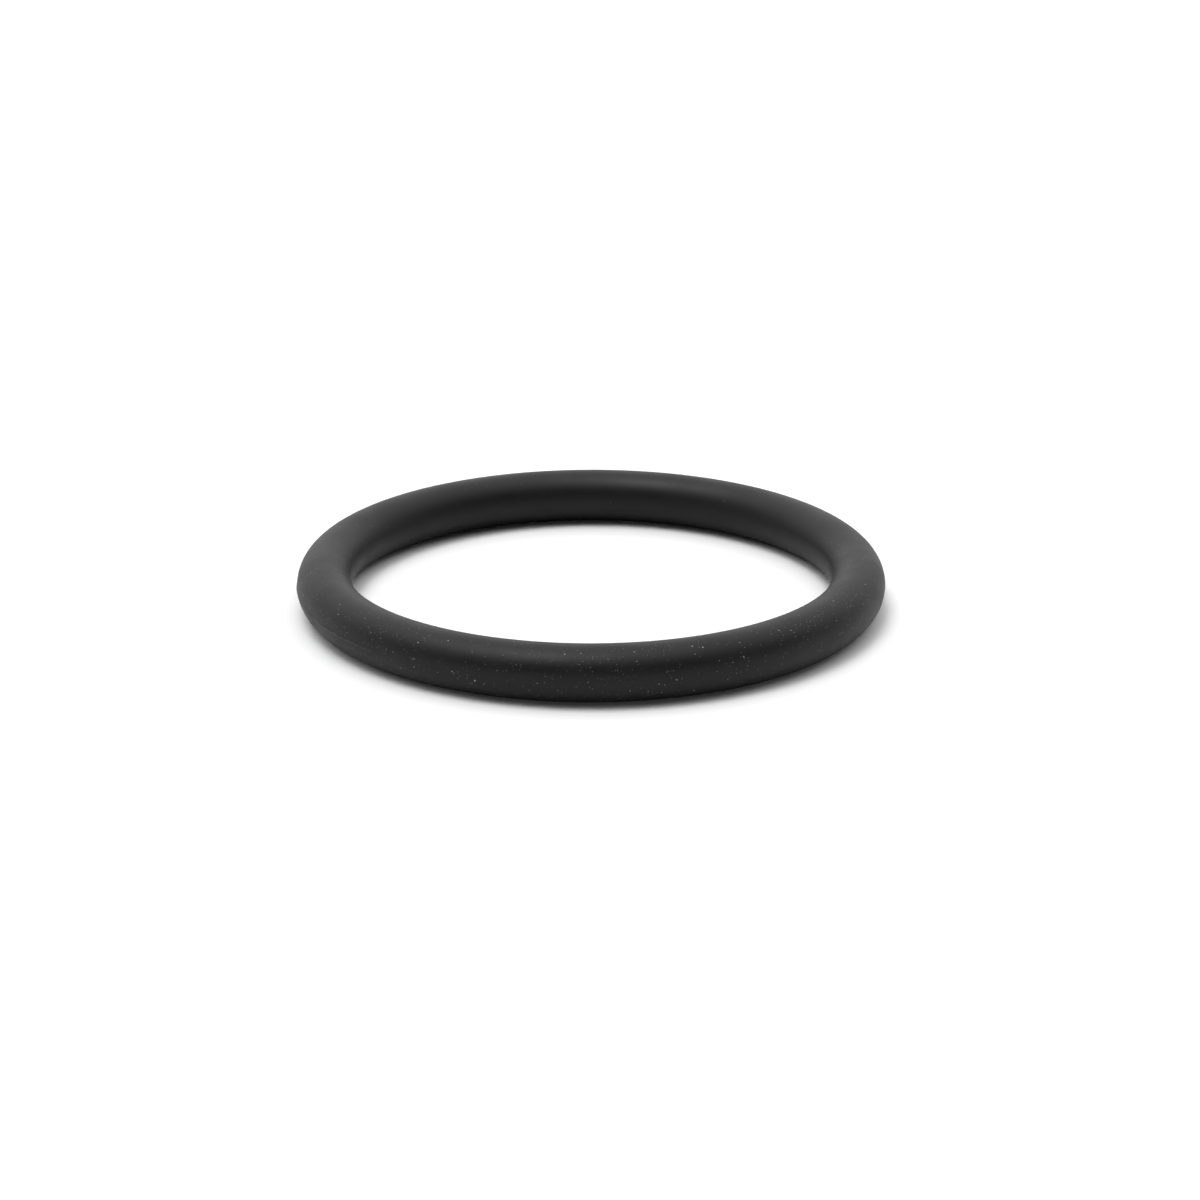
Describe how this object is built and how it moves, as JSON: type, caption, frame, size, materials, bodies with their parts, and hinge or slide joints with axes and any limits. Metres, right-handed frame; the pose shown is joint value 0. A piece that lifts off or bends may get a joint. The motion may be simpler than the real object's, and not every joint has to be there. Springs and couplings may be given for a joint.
{
  "type": "rubber o-ring",
  "caption": "Black rubber o-ring of round section, a static or slow-moving seal for a shaft, plug or face groove.",
  "frame": {"origin": "centre of the ring, on its axis and in the plane of its parting line", "axes": "+Z along the ring's axis, up from the surface that it lies on; X and Y are in the plane of the ring and alike"},
  "size_m": [0.057, 0.057, 0.0052],
  "materials": {
    "black_rubber": "matte"
  },
  "bodies": {
    "root": {"o_ring": "black_rubber"}
  },
  "joints": []
}
